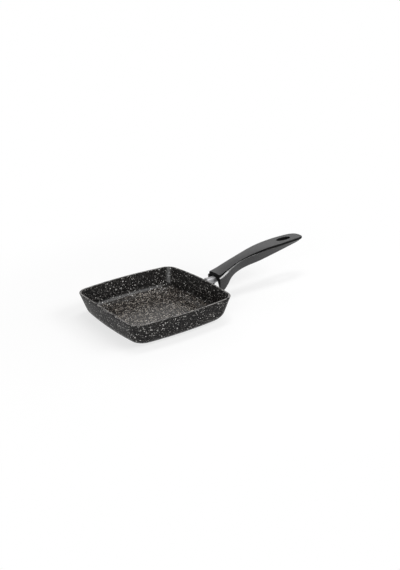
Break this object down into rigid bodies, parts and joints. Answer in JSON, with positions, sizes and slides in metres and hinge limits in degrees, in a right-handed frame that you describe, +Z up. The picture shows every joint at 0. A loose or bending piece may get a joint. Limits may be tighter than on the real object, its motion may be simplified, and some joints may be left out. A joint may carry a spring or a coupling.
{
  "type": "square frying pan",
  "caption": "Small square frying pan of pressed aluminium with a speckled non-stick coating, a flat base plate and a two-part moulded handle on a metal stem.",
  "frame": {"origin": "centre of the base's underside, on the plane that the pan rests on", "axes": "+X along the handle, away from the pan; +Z up, out of the pan's mouth; +Y completes the right-handed frame"},
  "size_m": [0.3088, 0.15, 0.0565],
  "materials": {
    "speckled_coating": "charcoal non-stick coating with pale flecks, satin, over pressed aluminium",
    "base_steel": "plain steel plate, fine turned grain",
    "cast_aluminium": "blasted cast aluminium",
    "stem_steel": "drawn bright bar",
    "body_plastic": "black heat-proof moulding, semi-gloss",
    "cover_plastic": "dark grey heat-proof moulding, satin with a fine texture",
    "screw_steel": "zinc-plated screw",
    "insert_brass": "turned brass"
  },
  "bodies": {
    "root": {"pan_body": "speckled_coating", "induction_plate": "base_steel", "wall_boss": "cast_aluminium", "bracket_stem": "stem_steel", "handle_body": "body_plastic", "handle_cover": "cover_plastic", "bracket_screw_front": "screw_steel", "bracket_screw_rear": "screw_steel", "cover_screw_front": "screw_steel", "cover_screw_rear": "screw_steel", "cover_insert_front": "insert_brass", "cover_insert_rear": "insert_brass"}
  },
  "joints": []
}
